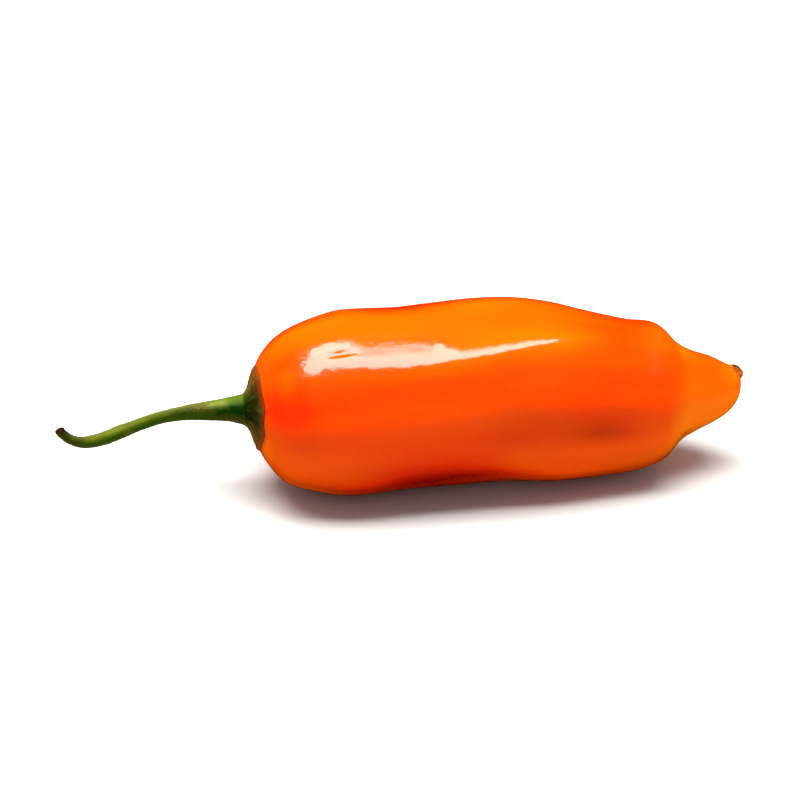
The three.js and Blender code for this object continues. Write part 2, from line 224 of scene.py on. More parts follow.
pod = {
    # how far along, half the height, how high its middle stands, and how far to the back
    "stations": [
        (-45.7, 0.0, 20.3, 0.0), (-45.4, 5.0, 20.3, 0.0), (-44.4, 9.2, 20.3, 0.0),
        (-42.6, 12.7, 20.2, 0.0), (-39.0, 16.5, 20.0, 0.0), (-33.0, 19.1, 20.2, 0.2),
        (-24.0, 21.0, 20.2, 0.4), (-12.0, 20.9, 20.6, 0.5), (1.0, 21.2, 20.7, 0.6),
        (12.0, 21.1, 20.9, 0.6), (22.0, 20.8, 20.0, 0.5), (33.0, 19.1, 18.6, 0.3),
        (42.0, 17.5, 17.9, -0.1), (48.5, 15.8, 18.6, -0.5), (53.0, 11.45, 18.55, -0.8),
        (56.5, 9.45, 18.5, -1.1), (61.0, 7.7, 18.75, -1.4), (64.5, 5.8, 18.85, -1.5),
        (66.9, 3.6, 19.7, -1.6), (68.1, 0.0, 20.5, -1.6),
    ],
    "widthToHeight": 1.03,
    "fullHalf": 21,  # half the height where the pod is fullest
    # ridges and furrows: how far round each fades, then how far along, the angle, and the height
    "ridges": [
        (11.5, [(-42, 126, 0), (-30, 129, 0.3), (-12, 131, 0.5), (-5, 130.5, 0.9), (0, 129.5, 1.5),
                (8, 127, 1.8), (14, 124, 1.8), (20, 121, 2.0), (26, 118, 2.2), (32, 114, 1.9),
                (39, 108, 0.8), (47, 105, 0)]),
        (20, [(-30, 95, 0), (-5, 98, -0.5), (15, 95, -0.9), (32, 88, -0.5), (48, 85, 0)]),
        (10, [(-44, 153, 0), (-36, 153, -0.5), (-22, 153, -0.5), (-6, 152, -0.2), (6, 151, 0)]),
        (14, [(-44, 166, 0), (-34, 166, 0.3), (-10, 165, 0.4), (12, 161, 0.5), (35, 158, 0.5),
              (50, 156, 0)]),
        (15, [(-43, 178, 0), (-33, 178, -0.6), (-8, 180, -0.7), (14, 183, -1.1), (36, 185, -1.5),
              (50, 184, -0.4), (56, 182, 0)]),
        (16, [(-42, 198, 0), (-30, 200, 0.4), (0, 203, 0.2), (25, 208, 0.5), (44, 208, 0.2),
              (54, 208, 0)]),
        (22, [(-34, 62, 0), (-24, 62, 0.35), (-11, 62, -0.4), (2, 62, 0)]),
        (24, [(-44, 20, 0), (-30, 22, 0.8), (0, 28, 1.0), (26, 34, 0.9), (48, 30, 0)]),
        (24, [(-44, 340, 0), (-32, 342, -1.0), (-4, 348, -1.3), (24, 352, -1.5), (46, 350, -0.6),
              (58, 350, 0)]),
        (22, [(-44, 310, 0), (-30, 312, 0.7), (0, 316, 0.5), (30, 318, 0.8), (50, 316, 0)]),
    ],
    # dents: how far along, the angle, the depth, and how far each fades along and round
    "dents": [
        (4, 218, 1.2, 15, 24), (13, 172, 0.5, 9, 12), (36, 172, 0.8, 8, 14),
        (-40.5, 148, 0.3, 2.2, 22), (8, 330, 0.9, 12, 20), (49, 122, 1.2, 6, 24),
    ],
    "rings": 250,
    "sides": 340,
    # faint lines that run lengthwise: their height, and where along they start and end. Each row
    # holds a weight, how many go round, how far they wander, over what length, and from where
    "lineHeight": 0.04,
    "lineEnds": (-44, -30, 40, 60),
    "lines": [(1, 11, 0.8, 13, 0), (0.7, 19, 1, 9, 1)],
    # pleats where the pod narrows: their height, then for each row a weight, how many go round,
    # the turn that they start at, how far along, and how far they fade
    "pleatHeight": 0.16,
    "pleats": [(1, 9, 2, 53, 5), (0.6, 7, 0, -43, 3)],
    # soft unevenness all over: its height, then rows of weight, wave length and seed
    "unevenHeight": 0.08,
    "unevenWaves": [(1, 26, 3), (0.6, 11, 4)],
    "reliefFrom": (0.2, 3),  # how high above the table the fine relief starts and is full
    # shallow pits in the skin alone: how far along, the angle, the depth, and how far each fades
    "pits": [(-26, 117.6, 0.4, 3.2, 2.3), (-17, 119.5, 0.03, 2.0, 1.8), (-9, 119, 0.03, 1.6, 1.8)],
    # how pale the orange is, from about -0.3 for dark red to 1 for yellow orange: round the pod by
    # the angle, then on the top and the underside of the nose, then for each mm of a ridge. Besides
    # the skin's own tones it holds painted light and shade: it is paler on top, partly as painted
    # light, redder low down and in the furrows as painted shade, and paler under the nose, partly as
    # a painted reflection
    "paleRound": [
        (0, 0.12), (62, 0.12), (70, 0.28), (80, 0.45), (90, 0.52), (100, 0.48), (115, 0.45),
        (124, 0.38), (132, 0.26), (142, 0.17), (152, 0.16), (165, 0.26), (178, 0.31), (190, 0.37),
        (204, 0.4), (215, 0.29), (228, 0.25), (240, 0.22), (300, 0.14), (360, 0.12),
    ],
    "paleNose": (0.42, 0.92),
    "noseFrom": (46.5, 53),  # how far along the nose's paleness starts and is full
    "noseUnder": (55, 90),  # degrees from its top to where its underside starts and is full
    "paleRidge": 0.1,
    # patches: how far along, the angle, how much paler, and how far each fades along and round.
    # Besides tone they paint light and shade: the pale ones along the lower edge of the shoulder and
    # round the nose are painted reflections and highlights, and the darkest one, under the middle, is
    # painted shade
    "patches": [
        (-42, 95, -0.15, 5, 45), (-38, 114, -0.25, 4, 11), (-38, 160, -0.12, 6, 18),
        (-38.3, 132, 0.14, 1.6, 20), (-43.4, 205, 0.4, 1.3, 25), (-6, 211, -0.62, 20, 17),
        (-10, 70, -0.22, 9, 9), (8, 80, 0.16, 9, 8), (30, 166, -0.12, 9, 9), (37, 105, -0.32, 8, 26),
        (43, 82, -0.25, 7, 14), (46, 195, 0.12, 6, 20), (-35, 230, 0.25, 8, 9), (-44, 66, 0.2, 3, 18),
        (64, 212, 0.2, 4, 14), (13, 205, 0.12, 6, 12), (54.1, 92, 0.15, 1.6, 8), (53, 195, 0.3, 1.0, 9),
        (-38, 150, -0.12, 4, 22), (-17, 225, -0.1, 20, 9), (-26, 232, 0.25, 12, 6),
        (60, 112, -0.12, 5, 22), (31, 114, -0.1, 7, 8), (-16, 80, -0.12, 8, 9), (52.6, 90, 0.2, 3, 20),
        (66, 130, 0.2, 4, 50), (-20, 30, 0.2, 15, 25), (20, 320, 0.2, 18, 22), (-5, 265, -0.2, 12, 18),
    ],
    # painted shade: darker, browner places, mostly low down near the table, in the furrows and by the
    # cap's rim: how far along, the angle, how strong, and how far each fades
    "shadePatches": [
        (26, 175, 0.3, 20, 16), (32, 180, 0.4, 6.5, 7), (11, 186, 0.2, 7, 6), (42, 213, 0.45, 10, 14),
        (-2, 230, 0.65, 21, 12), (-29, 217, 0.45, 9, 14), (-18, 201, 0.25, 9, 9),
        (50, 218, 0.4, 6, 10), (46, 70, 0.5, 4, 18), (61, 84, 0.6, 7, 16), (-44, 165, 0.25, 3, 16),
        (0, 203, 0.25, 14, 9), (8, 231, 0.25, 9, 9), (-38, 222, 0.3, 4, 9), (-35, 176, 0.2, 5, 9),
    ],
}


def relief(along, angle):
    # Ridges add to the height and furrows take from it, each fading round the pod as a bell from
    # a line that wanders along it, and each dent sinks as a bell both ways.
    height = np.zeros(np.broadcast(along, angle).shape)
    for spread, path in pod["ridges"]:
        places, angles, heights = np.array(path, float).T
        away = angleFrom(angle, np.interp(along, places, angles))
        height += np.interp(along, places, heights) * fade(away, spread)
    for place, middle, depth, reach, spread in pod["dents"]:
        height -= depth * fade(along - place, reach) * fade(angleFrom(angle, middle), spread)
    return height


def podSkin(share, angle):
    # An oval ring at each place along the pod, whose size, height and side follow the stations
    # and whose radius swells and sinks with the ridges. What would go below the table is flat.
    along, half, up, side = np.moveaxis(throughRows(pod["stations"], share), -1, 0)
    half = half * (1 + relief(along, angle) / pod["fullHalf"])
    turn = np.radians(angle)
    across = side + pod["widthToHeight"] * half * np.cos(turn)
    return np.stack([along + 0 * turn, across, np.maximum(up + half * np.sin(turn), 0)], -1)


def patchSum(patches, along, angle):
    # patches added up, each fading as a bell along the pod and round it
    return sum(
        change * fade(along - place, reach) * fade(angleFrom(angle, middle), spread)
        for place, middle, change, reach, spread in patches
    )


def podPaleness(along, angle):
    # The paleness round the pod turns into that of the nose near the tip. Ridges and patches add
    # to it, and furrows take from it, as painted light and shade: ridges paler and furrows redder.
    pale = np.interp(angle % 360, *np.array(pod["paleRound"], float).T)
    onTop, beneath = pod["paleNose"]
    nose = onTop + (beneath - onTop) * smoothStep(np.abs(angleFrom(angle, 90)), *pod["noseUnder"])
    pale = pale + (nose - pale) * smoothStep(along, *pod["noseFrom"])
    return pale + pod["paleRidge"] * relief(along, angle) + patchSum(pod["patches"], along, angle)


def abovePod(share, angle, lift):
    # the skin's point moved outwards, square to the skin, which small steps both ways give
    shareStep, angleStep = 0.002, 1
    lengthwise = podSkin(share + shareStep, angle) - podSkin(share - shareStep, angle)
    across = podSkin(share, angle + angleStep) - podSkin(share, angle - angleStep)
    outward = np.cross(across, lengthwise)
    outward /= np.linalg.norm(outward, axis=-1, keepdims=True)
    return podSkin(share, angle) + outward * np.asarray(lift)[..., None]


def buildPod():
    # The skin as a grid of rings, lifted square to itself by faint lines, pleats and unevenness
    # and sunk by its pits, which all fade out where it lies on the table.
    share = np.linspace(0, 1, pod["rings"] + 2)[1:-1, None]
    angle = np.arange(pod["sides"])[None, :] * 360 / pod["sides"]
    points = podSkin(share, angle)
    along = points[..., 0]
    turn = np.radians(angle)
    lines = sum(weight * np.sin(count * turn + wander * np.sin(along / length + start))
                for weight, count, wander, length, start in pod["lines"])
    pleats = sum(weight * np.sin(count * turn + start) * fade(along - place, reach)
                 for weight, count, start, place, reach in pod["pleats"])
    lift = (
        pod["lineHeight"] * lines * between(along, *pod["lineEnds"])
        + pod["unevenHeight"] * waveSum(points, pod["unevenWaves"])
        + pod["pleatHeight"] * pleats
        - patchSum(pod["pits"], along, angle)
    )
    lift = lift * smoothStep(points[..., 2], *pod["reliefFrom"])
    points = points + gridNormals(points) * lift[..., None]
    shoulder, tip = podSkin(np.zeros(1), np.zeros(1)), podSkin(np.ones(1), np.zeros(1))
    # the paleness holds painted light and shade as well as tone, and the second set is painted shade
    # alone
    values = {"pale": podPaleness(along, angle), "paintedShade": patchSum(pod["shadePatches"], along, angle)}
    return closedTube("chilliPod", points, shoulder, tip, values)


def chilliSkin():
    # Ripe chilli skin, grown and unpolished: a thin clear wax over taut orange flesh. It is an even
    # orange with small sharp reflections; its colour also holds painted light and shade, paler on top
    # and redder and darker in the hollows and underneath.
    material, tree = newMaterial("waxyChilliSkin")
    place = addNode(tree, "ShaderNodeTexCoord").outputs["Object"]
    pale = addNode(tree, "ShaderNodeAttribute", {"attribute_name": "pale"}).outputs["Fac"]
    # bands of ripeness about 8 mm wide and 30 mm long, which change the paleness by up to 0.15
    bandWay = addNode(tree, "ShaderNodeMapping", {"Scale": (0.28, 1, 1)}, {"Vector": place})
    bands = addNode(tree, "ShaderNodeTexNoise", {"Scale": 120, "Detail": 2},
                    {"Vector": bandWay.outputs[0]})
    uneven = addNode(tree, "ShaderNodeMath", {"operation": "MULTIPLY_ADD", 1: 0.3, 2: -0.15},
                     {0: bands.outputs["Fac"]})
    ripenessWithPaintedLight = addNode(tree, "ShaderNodeMath", {"operation": "ADD"}, {0: pale, 1: uneven.outputs[0]})
    # the ramp starts at a paleness of -0.35 and its second stop is at 0
    rampPlace = addNode(tree, "ShaderNodeMapRange", {"From Min": -0.35, "From Max": 1},
                        {"Value": ripenessWithPaintedLight.outputs[0]})
    tone = addNode(tree, "ShaderNodeValToRGB", links={0: rampPlace.outputs[0]},
                   stops=[(0.0, "#960a00"), (0.26, "#dc2700"), (0.5, "#e24700"), (1.0, "#f06f00")])
    paintedShade = addNode(tree, "ShaderNodeAttribute", {"attribute_name": "paintedShade"}).outputs["Fac"]
    # painted shade: a shaded place keeps half of its red and blue and 0.7 of its green
    shadedTone = addNode(tree, "ShaderNodeMix",
                       {"data_type": "RGBA", "blend_type": "MULTIPLY", 7: (0.5, 0.7, 0.5, 1)},
                       {0: paintedShade, 6: tone.outputs["Color"]})
    # fine streaks along the pod, 0.6 mm wide and 12 mm long
    longWay = addNode(tree, "ShaderNodeMapping", {"Scale": (0.05, 1, 1)}, {"Vector": place})
    streaks = addNode(tree, "ShaderNodeTexNoise", {"Scale": 1600, "Detail": 1},
                      {"Vector": longWay.outputs[0]})
    # pores 0.7 mm apart, each a pale pinprick
    pores = addNode(tree, "ShaderNodeTexVoronoi", {"Scale": 1400}, {"Vector": place})
    poreRing = addNode(tree, "ShaderNodeMapRange",
                       {"From Min": 0.1, "From Max": 0.3, "To Min": 1, "To Max": 0},
                       {"Value": pores.outputs["Distance"]})
    poreShare = addNode(tree, "ShaderNodeMath", {"operation": "MULTIPLY", 1: 0.12},
                        {0: poreRing.outputs[0]})
    color = addNode(tree, "ShaderNodeMix", {"data_type": "RGBA", 7: fromHex("#f27800")},
                    {0: poreShare.outputs[0], 6: shadedTone.outputs[2]})
    height = addNode(tree, "ShaderNodeMath", {"operation": "MULTIPLY_ADD", 1: 0.4},
                     {0: streaks.outputs["Fac"], 2: poreRing.outputs[0]})
    fine = addNode(tree, "ShaderNodeBump", {"Strength": 0.05, "Distance": 0.0001},
                   {"Height": height.outputs[0]})
    # shallow dimples 2.2 mm across break up the edges of the reflections
    dimples = addNode(tree, "ShaderNodeTexNoise", {"Scale": 450, "Detail": 2}, {"Vector": place})
    bump = addNode(tree, "ShaderNodeBump", {"Strength": 0.4, "Distance": 0.0002},
                   {"Height": dimples.outputs["Fac"], "Normal": fine.outputs[0]})
    rough = addNode(tree, "ShaderNodeMapRange", {"To Min": 0.26, "To Max": 0.38},
                    {"Value": streaks.outputs["Fac"]})
    # only the clear wax on top reflects
    skin = addNode(tree, "ShaderNodeBsdfPrincipled",
                   {"IOR": 1.45, "Specular IOR Level": 0.0, "Coat Weight": 1.0, "Coat Roughness": 0.12,
                    "Coat IOR": 1.44, "Subsurface Weight": 0.12, "Subsurface Radius": (1, 0.25, 0.05),
                    "Subsurface Scale": 0.003},
                   {"Base Color": color.outputs[2], "Roughness": rough.outputs[0],
                    "Normal": bump.outputs[0], "Coat Normal": bump.outputs[0]})
    addNode(tree, "ShaderNodeOutputMaterial", links={"Surface": skin.outputs[0]})
    return material


podPiece = buildPod()
podPiece.data.materials.append(chilliSkin())
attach(podPiece, "root")
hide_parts("pod")
print("pod made:", len(podPiece.data.polygons), "faces")


stalk = {
    "capRadius": 9.2,
    "capLean": 135,  # the angle that the cap reaches further out to and is thicker at
    "capLeanReach": 1.8,
    "capLeanThicker": 0.2,
    # teeth: the angle, and how much longer or shorter the cap is there
    "teeth": [(48, -1.7), (80, 0.3), (112, 0.4), (150, 0.9), (180, 0.9), (226, 0.4), (260, -1.2),
              (296, 1.4), (356, 1.6)],
    "toothSpread": 15,
    # rows of the cap from beneath it to the stalk: share of its reach, and height over the skin
    "cap": [
        (0.3, -0.25), (0.6, -0.25), (0.85, -0.2), (0.97, -0.1), (1.0, 0.08), (1.0, 0.25),
        (0.96, 0.38), (0.88, 0.46), (0.78, 0.54), (0.64, 0.68), (0.5, 0.95), (0.41, 1.4),
    ],
    "rimRow": 5,  # the row that is the cap's edge
    "capSunk": 0.25,  # how deep the middle of its underside is in the skin
    # how far along, how far to the back, how high, and the radius
    "stations": [
        (-47.9, 0.0, 20.6, 3.4), (-51.4, -0.3, 21.0, 2.65), (-55.9, -1.0, 21.3, 2.15),
        (-60.5, -1.7, 21.6, 1.7), (-65.0, -2.3, 21.4, 1.45), (-69.6, -2.6, 20.4, 1.4),
        (-74.1, -2.5, 18.7, 1.5), (-77.6, -2.0, 17.1, 1.55), (-80.6, -1.3, 15.8, 1.45),
        (-83.3, -0.6, 15.0, 1.35), (-85.3, -0.1, 15.0, 1.2), (-86.9, 0.4, 15.5, 1.1),
        (-88.1, 0.8, 16.4, 1.1), (-88.8, 1.0, 17.1, 1.1), (-89.0, 1.0, 17.6, 1.1),
    ],
    "stationRings": 36,
    "ribs": 5,
    "ribHeight": 0.02,  # as a share of the radius
    # rows of the cut end: share of the radius, and how far it stands past the last station
    "cut": [(1.02, 0.03), (0.96, 0.1), (0.84, 0.06), (0.66, -0.06), (0.5, -0.02), (0.3, 0.05),
            (0.12, 0.02)],
    "rings": 330,
    "sides": 150,
    # corky marks, and pale spots that are a painted highlight: how far along the stalk, the angle, and
    # the size
    "marks": [(0.17, 106, 1.8), (0.32, 108, 0.8), (0.3, 20, 1.6), (0.46, 70, 1.3),
              (0.52, 220, 1.2), (0.42, 190, 0.9), (0.6, 10, 1.6), (0.8, 300, 1.5)],
    "highlightSpots": [(0.095, 107, 1.0), (0.13, 112, 0.7)],
    # what turns a spot's place into millimetres, and its size into degrees round the stalk
    "spotLength": 46,
    "degreesPerMm": 22,
    "highlightShare": 0.8,
    "frontAngle": 150,  # the middle of the cap's dark front
    # zones: 0 to 1 under the cap, to 2 over it, to 3 on the stalk and to 4 over the cut end. The
    # relief of the cap and of the stalk starts, is full, leaves and ends at these
    "capZone": (0.8, 1.1, 1.7, 2.15),
    "stalkZone": (2.0, 2.1, 2.97, 3.0),
    "rimZone": (1.05, 0.14),  # the middle of the rim, and how far its relief fades
    "cutZone": (3.0, 3.1),  # where the relief of the cut starts and is full
    "toothZone": (1.1, 1.7),  # where the tone of the teeth starts to fade and is gone
    # fine relief of each: rows of height, wave length and seed
    "capWaves": [(0.07, 2.2, 22)],
    "rimWaves": [(0.06, 2.5, 23)],
    "stalkWaves": [(0.05, 4, 24), (0.03, 1.2, 25)],
    "cutWaves": [(0.04, 0.45, 26)],
    # a crust of short waves, its height on the cap and its rim, the height of the corky marks, and
    # how much the crust changes that
    "crustWaves": [(1, 0.9, 21)],
    "capCrust": 0.05,
    "rimCrust": 0.08,
    "corkHeight": 0.1,
    "corkCrust": 0.5,
    # folds of the cap that run out from the stalk: the angle, the width in degrees, and the height
    "folds": [(66, 4, 0.14), (88, 3, 0.1), (108, 4, 0.16), (130, 3, 0.1), (150, 4, 0.14),
              (163, 2.5, 0.1), (178, 3, 0.18), (191, 2.5, 0.12), (203, 2.5, 0.2), (216, 3, 0.14),
              (240, 4, 0.12), (268, 5, 0.1), (296, 6, 0.2), (325, 6, 0.12), (356, 6, 0.2),
              (20, 5, 0.12)],
}


def toothSum(angle):
    # how much the teeth change the cap's radius, each fading to its sides as a bell
    return sum(length * fade(angleFrom(angle, middle), stalk["toothSpread"])
               for middle, length in stalk["teeth"])


def capReach(angle):
    # the cap's radius, which is larger on one side and at the teeth
    lean = np.cos(np.radians(angle - stalk["capLean"]))
    return stalk["capRadius"] + stalk["capLeanReach"] * lean + toothSum(angle)


def shoulderShare(radius):
    # how far along the pod its shoulder has grown to a radius, read from a fine table of the
    # first few stations
    shoulderStations, tableSize = 4, 600
    shares = np.linspace(0, shoulderStations / (len(pod["stations"]) - 1), tableSize)
    return np.interp(radius, throughRows(pod["stations"], shares)[:, 1], shares)


def stalkRings(angle):
    # Circles square to the stalk's line, with soft ribs, turned so that 90 degrees is upwards.
    shares = np.linspace(0, 1, stalk["stationRings"])
    rows = throughRows(stalk["stations"], shares)
    middle, radius = rows[:, :3], rows[:, 3]
    step = 0.01
    before, after = (throughRows(stalk["stations"], shares + change) for change in (-step, step))
    way = (after - before)[:, :3]
    way = way / np.linalg.norm(way, axis=1, keepdims=True)
    sideways = np.cross(way, (0, 0, 1))
    sideways /= np.linalg.norm(sideways, axis=1, keepdims=True)
    upward = np.cross(sideways, way)
    turn = np.radians(angle)
    ribbed = radius[:, None] * (1 + stalk["ribHeight"] * np.cos(stalk["ribs"] * turn))
    cut = np.array(stalk["cut"])
    middle = np.vstack([middle, middle[-1] + way[-1] * cut[:, 1:]])
    ribbed = np.vstack([ribbed, cut[:, :1] * ribbed[-1:]])
    sideways = np.vstack([sideways, np.repeat(sideways[-1:], len(cut), 0)])
    upward = np.vstack([upward, np.repeat(upward[-1:], len(cut), 0)])
    return (
        middle[:, None]
        + sideways[:, None] * (ribbed * np.cos(turn))[..., None]
        + upward[:, None] * (ribbed * np.sin(turn))[..., None]
    )


def spotSum(spots, along, angle):
    # round spots on the stalk, as wide as they are long, each fading as a bell and 1 at most
    return np.clip(sum(
        fade((along - where) * stalk["spotLength"], size)
        * fade(angleFrom(angle, middle), stalk["degreesPerMm"] * size)
        for where, middle, size in spots
    ), 0, 1)


def buildStalk():
    # The cap's rows lie over the pod's skin and the stalk's rings follow them, and one smooth
    # surface runs through all of them. Folds, waves, crust and corky marks then lift it.
    angle = -np.arange(stalk["sides"])[None, :] * 360 / stalk["sides"]
    lean = np.cos(np.radians(angle - stalk["capLean"]))
    capRows = [
        abovePod(shoulderShare(share * capReach(angle[0])), angle[0],
                 lift * (1 + stalk["capLeanThicker"] * lean[0]))
        for share, lift in stalk["cap"]
    ]
    rows = np.concatenate([np.array(capRows), stalkRings(angle)])
    # the zone that each row belongs to
    lastRow = len(rows) - 1
    bounds = [0, stalk["rimRow"], len(capRows), lastRow - len(stalk["cut"]), lastRow]
    place = np.linspace(0, 1, stalk["rings"])
    zone = np.interp(place * lastRow, bounds, range(len(bounds)))[:, None]
    points = throughRows(rows, place)

    rimMiddle, rimReach = stalk["rimZone"]
    onCap = between(zone, *stalk["capZone"])
    atRim = fade(zone - rimMiddle, rimReach)
    onStalk = between(zone, *stalk["stalkZone"])
    onCut = smoothStep(zone, *stalk["cutZone"])
    folds = sum(height * fade(angleFrom(angle, middle), width)
                for middle, width, height in stalk["folds"])
    marks, paintedHighlight = (spotSum(stalk[spots], zone - 2, angle) for spots in ("marks", "highlightSpots"))
    crust = waveSum(points, stalk["crustWaves"])
    cork = stalk["corkHeight"] * marks * (1 + stalk["corkCrust"] * crust)
    lift = (
        onCap * (folds + waveSum(points, stalk["capWaves"]) + stalk["capCrust"] * crust)
        + atRim * (stalk["rimCrust"] * crust + waveSum(points, stalk["rimWaves"]))
        + onStalk * (waveSum(points, stalk["stalkWaves"]) + cork)
        + onCut * waveSum(points, stalk["cutWaves"])
    )
    points = points + gridNormals(points) * lift[..., None]
    turn = np.radians(angle)
    values = {
        "zone": zone / 4 + 0 * turn,
        "cork": marks * onStalk,
        "paintedHighlight": stalk["highlightShare"] * paintedHighlight,
        "fold": folds * onCap,
        "tip": toothSum(angle) * (1 - smoothStep(zone, *stalk["toothZone"])),
        "round": np.cos(turn) + 0 * zone,
        "roundUp": np.sin(turn) + 0 * zone,
        "front": np.cos(turn - math.radians(stalk["frontAngle"])) + 0 * zone,
    }
    underPoint = podSkin(np.zeros(1), np.zeros(1)) + [[stalk["capSunk"], 0, 0]]
    return closedTube("chilliStalk", points, underPoint, points[-1].mean(axis=0), values)


def stalkBark():
    # Fresh chilli stalk, grown and lately cut: green, ribbed and slightly waxy, with brown cork
    # where it healed, a brown edge to its cap that is partly dried and partly painted shade, a
    # painted highlight near the cap and a dark dried cut.
    material, tree = newMaterial("greenChilliStalk")
    place = addNode(tree, "ShaderNodeTexCoord").outputs["Object"]
    facts = {name: addNode(tree, "ShaderNodeAttribute", {"attribute_name": name}).outputs["Fac"]
             for name in ("zone", "cork", "paintedHighlight", "fold", "tip", "round", "roundUp", "front")}
    # mottling 3 mm across moves the bounds of the zones
    mottle = addNode(tree, "ShaderNodeTexNoise", {"Scale": 330, "Detail": 3}, {"Vector": place})
    shift = addNode(tree, "ShaderNodeMapRange", {"To Min": -0.02, "To Max": 0.02},
                    {"Value": mottle.outputs["Fac"]})
    where = addNode(tree, "ShaderNodeMath", {"operation": "ADD"},
                    {0: facts["zone"], 1: shift.outputs[0]})

    # the stalk from underneath to the top: olive, then dark green at its sides, then pale olive;
    # a fresher green near the cap, where its lighter top is a painted highlight, and drying to brown
    # towards the cut
    height = addNode(tree, "ShaderNodeMapRange", {"From Min": -1, "From Max": 1},
                     {"Value": facts["roundUp"]})
    farGreen = addNode(tree, "ShaderNodeValToRGB", links={0: height.outputs[0]}, stops=[
        (0.0, "#42450f"), (0.25, "#37440a"), (0.5, "#2a4300"), (0.66, "#3e5202"),
        (0.8, "#545e0c"), (0.92, "#60661e"), (1.0, "#5a601c")])
    nearGreenAndHighlight = addNode(tree, "ShaderNodeValToRGB", links={0: height.outputs[0]}, stops=[
        (0.0, "#3c3a0a"), (0.3, "#3a3a08"), (0.5, "#283800"), (0.62, "#0a2c00"), (0.82, "#082900"),
        (0.93, "#345304"), (1.0, "#496406")])
    dryBrown = addNode(tree, "ShaderNodeValToRGB", links={0: height.outputs[0]}, stops=[
        (0.0, "#463a0c"), (0.5, "#40360a"), (0.66, "#2e2a06"), (0.82, "#1a1c04"), (1.0, "#1e2006")])
    nearCap = addNode(tree, "ShaderNodeMapRange",
                      {"From Min": 0.522, "From Max": 0.545, "To Min": 1, "To Max": 0},
                      {"Value": where.outputs[0]})
    green = addNode(tree, "ShaderNodeMix", {"data_type": "RGBA"},
                    {0: nearCap.outputs[0], 6: farGreen.outputs["Color"], 7: nearGreenAndHighlight.outputs["Color"]})
    nearCut = addNode(tree, "ShaderNodeMapRange", {"From Min": 0.64, "From Max": 0.71, "To Max": 0.9},
                      {"Value": where.outputs[0]})
    drying = addNode(tree, "ShaderNodeMix", {"data_type": "RGBA"},
                     {0: nearCut.outputs[0], 6: green.outputs[2], 7: dryBrown.outputs["Color"]})
    # lighter and darker stretches along its upper front
    stretches = addNode(tree, "ShaderNodeValToRGB", links={0: where.outputs[0]}, stops=[
        (0.52, "#ffffff"), (0.532, "#e8e4d0"), (0.54, "#b4a86a"), (0.552, "#7c8e3f"),
        (0.57, "#a4ae59"), (0.592, "#cfd795"), (0.62, "#ffffff"), (0.65, "#dcdcd0"),
        (0.68, "#a4b860"), (0.71, "#e0e0c0")])
    frontward = addNode(tree, "ShaderNodeMath", {"operation": "SUBTRACT"},
                        {0: facts["roundUp"], 1: facts["round"]})
    frontShare = addNode(tree, "ShaderNodeMapRange", {"From Min": 1.0, "From Max": 1.37},
                         {"Value": frontward.outputs[0]})
    banded = addNode(tree, "ShaderNodeMix", {"data_type": "RGBA", "blend_type": "MULTIPLY"},
                     {0: frontShare.outputs[0], 6: drying.outputs[2], 7: stretches.outputs["Color"]})
    # a painted highlight: pale spots on the top of the stalk close to the cap
    stem = addNode(tree, "ShaderNodeMix", {"data_type": "RGBA", 7: fromHex("#747a38")},
                   {0: facts["paintedHighlight"], 6: banded.outputs[2]})
    # the cap from its red brown rim, partly a dried edge and partly painted shade where the cap
    # meets the skin, to the dark green at the stalk, and a lighter olive brown away from its front
    capTone = addNode(tree, "ShaderNodeValToRGB", links={0: where.outputs[0]}, stops=[
        (0.0, "#1c0903"), (0.235, "#5a1400"), (0.262, "#6a1c00"), (0.288, "#4e2000"), (0.314, "#302206"),
        (0.336, "#141d02"), (0.43, "#142002"), (0.46, "#0a1a00"), (0.48, "#0a2000")])
    capSides = addNode(tree, "ShaderNodeValToRGB", links={0: where.outputs[0]}, stops=[
        (0.25, "#8a3a08"), (0.3, "#803f0c"), (0.34, "#7a4210"), (0.4, "#6f5218"), (0.44, "#5e521a"),
        (0.5, "#4a4c12")])
    sideShare = addNode(tree, "ShaderNodeMapRange", {"From Min": 0.95, "From Max": 0.6, "To Max": 0.9},
                        {"Value": facts["front"]})
    cap = addNode(tree, "ShaderNodeMix", {"data_type": "RGBA"},
                  {0: sideShare.outputs[0], 6: capTone.outputs["Color"], 7: capSides.outputs["Color"]})
    offCap = addNode(tree, "ShaderNodeMapRange", {"From Min": 0.46, "From Max": 0.525},
                     {"Value": where.outputs[0]})
    grown = addNode(tree, "ShaderNodeMix", {"data_type": "RGBA"},
                    {0: offCap.outputs[0], 6: cap.outputs[2], 7: stem.outputs[2]})
    # the tips of the teeth dry to an olive brown
    tipShare = addNode(tree, "ShaderNodeMath", {"operation": "MULTIPLY", 1: 0.35, "use_clamp": True},
                       {0: facts["tip"]})
    tipped = addNode(tree, "ShaderNodeMix", {"data_type": "RGBA", 7: fromHex("#5f4218")},
                     {0: tipShare.outputs[0], 6: grown.outputs[2]})

    # fibres about 0.15 mm wide, along the stalk and out over the cap, palest on its folds
    fibre = addNode(tree, "ShaderNodeCombineXYZ",
                    links={"X": facts["round"], "Y": facts["roundUp"], "Z": facts["zone"]})
    streaks = addNode(tree, "ShaderNodeTexNoise", {"Scale": 9, "Detail": 3},
                      {"Vector": fibre.outputs[0]})
    paleSum = addNode(tree, "ShaderNodeMath", {"operation": "MULTIPLY_ADD", 1: 2},
                      {0: facts["fold"], 2: streaks.outputs["Fac"]})
    streakShare = addNode(tree, "ShaderNodeMapRange",
                          {"From Min": 0.6, "From Max": 0.92, "To Max": 0.42},
                          {"Value": paleSum.outputs[0]})
    streaked = addNode(tree, "ShaderNodeMix", {"data_type": "RGBA", 7: fromHex("#5e5020")},
                       {0: streakShare.outputs[0], 6: tipped.outputs[2]})
